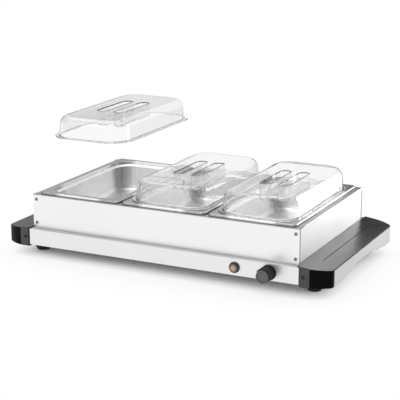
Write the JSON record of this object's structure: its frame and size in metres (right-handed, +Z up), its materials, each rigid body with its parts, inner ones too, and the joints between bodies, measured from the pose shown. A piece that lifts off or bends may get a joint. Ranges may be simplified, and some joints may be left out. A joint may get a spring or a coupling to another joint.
{
  "type": "food warmer",
  "caption": "Countertop electric buffet warmer: a heated steel base with black end handles, a lift-off frame, steel pans and clear domed lift-off lids.",
  "frame": {"origin": "on the counter under the middle of the base", "axes": "+Z up, +X along the row of pans to the right seen from the front, -Y towards the controls"},
  "size_m": [0.6844, 0.4224, 0.2799],
  "materials": {
    "brushed_steel": "fine brushed",
    "pan_steel": "bright satin",
    "clear_plastic": "clear gloss",
    "plated_steel": "zinc plated",
    "screw_steel": "bright",
    "handle_plastic": "semi-gloss",
    "silver_band": "satin silver",
    "foot_rubber": "matt",
    "black_plastic": "fine matt",
    "element_steel": "heat-darkened",
    "amber_lens": "clear amber",
    "lamp_body": "moulded",
    "terminal_plastic": "moulded"
  },
  "bodies": {
    "base": {"base_housing": "brushed_steel", "bottom_cover": "plated_steel", "warming_plate": "plated_steel", "element_retainers": "plated_steel", "heat_shield": "plated_steel", "thermostat_bracket": "plated_steel", "left_end_bracket": "plated_steel", "right_end_bracket": "plated_steel", "thermal_cutout": "plated_steel", "handle_screws": "screw_steel", "foot_screws": "screw_steel", "left_handle": "handle_plastic", "right_handle": "handle_plastic", "left_handle_band": "silver_band", "right_handle_band": "silver_band", "front_left_foot": "foot_rubber", "front_right_foot": "foot_rubber", "rear_left_foot": "foot_rubber", "rear_right_foot": "foot_rubber", "indicator_bezel": "black_plastic", "indicator_nut": "black_plastic", "cord_gland": "black_plastic", "gland_nut": "black_plastic", "thermostat": "black_plastic", "heating_element": "element_steel", "indicator_lens": "amber_lens", "indicator_lamp": "lamp_body", "terminal_block": "terminal_plastic"},
    "frame": {"frame_front_panel": "brushed_steel", "frame_rear_panel": "brushed_steel", "frame_left_panel": "brushed_steel", "frame_right_panel": "brushed_steel", "left_divider_bar": "brushed_steel", "right_divider_bar": "brushed_steel", "frame_corner_brackets": "brushed_steel", "frame_screws": "screw_steel"},
    "knob": {"control_knob": "black_plastic", "thermostat_shaft": "screw_steel"},
    "left_pan": {"left_pan": "pan_steel"},
    "middle_pan": {"middle_pan": "pan_steel"},
    "right_pan": {"right_pan": "pan_steel"},
    "left_lid": {"left_lid": "clear_plastic"},
    "middle_lid": {"middle_lid": "clear_plastic"},
    "right_lid": {"right_lid": "clear_plastic"}
  },
  "joints": [
    {"name": "frame_lift", "type": "slide", "parent": "base", "child": "frame", "axis": [0, 0, 1], "range_m": [0, 0.12]},
    {"name": "knob_turn", "type": "hinge", "parent": "base", "child": "knob", "pos_m": [0.226, -0.182, 0.0415], "axis": [0, 1, 0], "range_deg": [-90, 180]},
    {"name": "left_pan_lift", "type": "slide", "parent": "frame", "child": "left_pan", "axis": [0, 0, 1], "range_m": [0, 0.1]},
    {"name": "middle_pan_lift", "type": "slide", "parent": "frame", "child": "middle_pan", "axis": [0, 0, 1], "range_m": [0, 0.1]},
    {"name": "right_pan_lift", "type": "slide", "parent": "frame", "child": "right_pan", "axis": [0, 0, 1], "range_m": [0, 0.1]},
    {"name": "left_lid_lift", "type": "slide", "parent": "left_pan", "child": "left_lid", "axis": [0.119, 0, 0.9929], "range_m": [-0.10927, 0]},
    {"name": "middle_lid_lift", "type": "slide", "parent": "middle_pan", "child": "middle_lid", "axis": [0, 0, 1], "range_m": [0, 0.115]},
    {"name": "right_lid_lift", "type": "slide", "parent": "right_pan", "child": "right_lid", "axis": [0, 0, 1], "range_m": [0, 0.115]}
  ]
}
